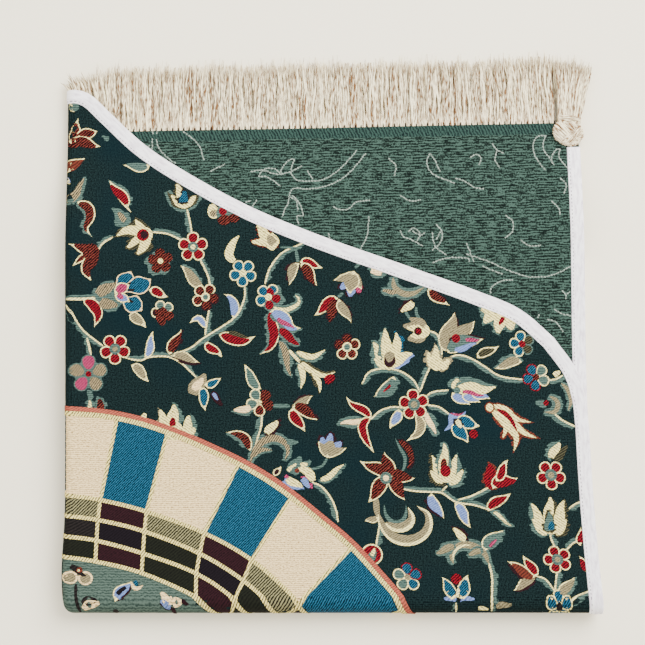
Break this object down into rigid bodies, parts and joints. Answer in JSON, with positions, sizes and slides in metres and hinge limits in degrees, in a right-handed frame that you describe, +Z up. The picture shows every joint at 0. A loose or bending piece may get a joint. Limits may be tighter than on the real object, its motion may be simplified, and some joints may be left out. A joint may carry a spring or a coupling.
{
  "type": "prayer rug",
  "caption": "Folded prayer rug with an arched end, a bound edge, a fringed end and knotted corner tassels, lying flat.",
  "frame": {"origin": "middle of the folded rug's bounding box, at the surface that it rests on", "axes": "+X across the rug towards its bound side, +Y towards its fringe and arch, +Z up"},
  "size_m": [0.3468, 0.3612, 0.0268],
  "materials": {
    "rug_jacquard": "flat-woven chenille and polyester jacquard, matt",
    "binding_tape": "plain white bias tape, matt",
    "cotton_yarn": "undyed cotton yarn, matt"
  },
  "bodies": {
    "root": {"rug_cloth": "rug_jacquard", "edge_binding": "binding_tape", "end_fringe": "cotton_yarn", "corner_tassel_upper": "cotton_yarn", "corner_tassel_lower": "cotton_yarn"}
  },
  "joints": []
}
